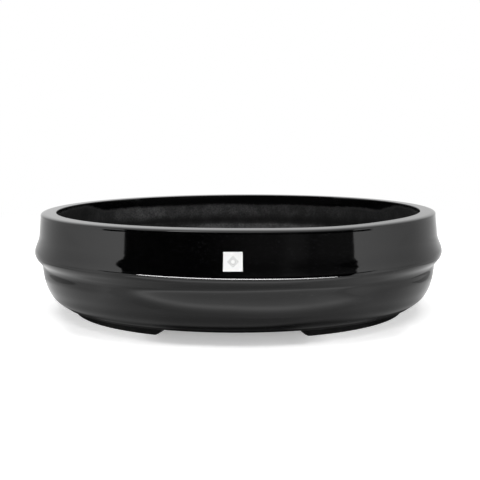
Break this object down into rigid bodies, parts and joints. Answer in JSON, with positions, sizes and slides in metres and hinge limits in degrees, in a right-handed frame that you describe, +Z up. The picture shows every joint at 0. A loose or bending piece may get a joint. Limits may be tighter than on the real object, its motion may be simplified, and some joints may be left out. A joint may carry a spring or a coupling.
{
  "type": "shallow oval plant pot",
  "caption": "Shallow oval glazed ceramic plant pot with a thick flat rim, a swelling belt, a bowl-shaped lower wall, short curved feet and net-covered drainage holes.",
  "frame": {"origin": "on the resting plane, at the middle of the pot between its four feet", "axes": "+X along the pot's length to the right, +Z up, and the front with the label faces -Y"},
  "size_m": [0.36, 0.284, 0.0892],
  "materials": {
    "black_glaze": "smooth deep gloss, near black, with a faint speckle",
    "dark_clay": "dark fired clay, matte to satin",
    "net_plastic": "dark matte moulded mesh",
    "clip_wire": "drawn wire, satin",
    "label_paper": "blank white gummed label, slightly glossy"
  },
  "bodies": {
    "root": {"pot_body": "black_glaze", "foot_front_left": "dark_clay", "foot_front_right": "dark_clay", "foot_rear_left": "dark_clay", "foot_rear_right": "dark_clay", "drain_net_left": "net_plastic", "drain_net_right": "net_plastic", "net_clip_left": "clip_wire", "net_clip_right": "clip_wire", "front_label": "label_paper"}
  },
  "joints": []
}
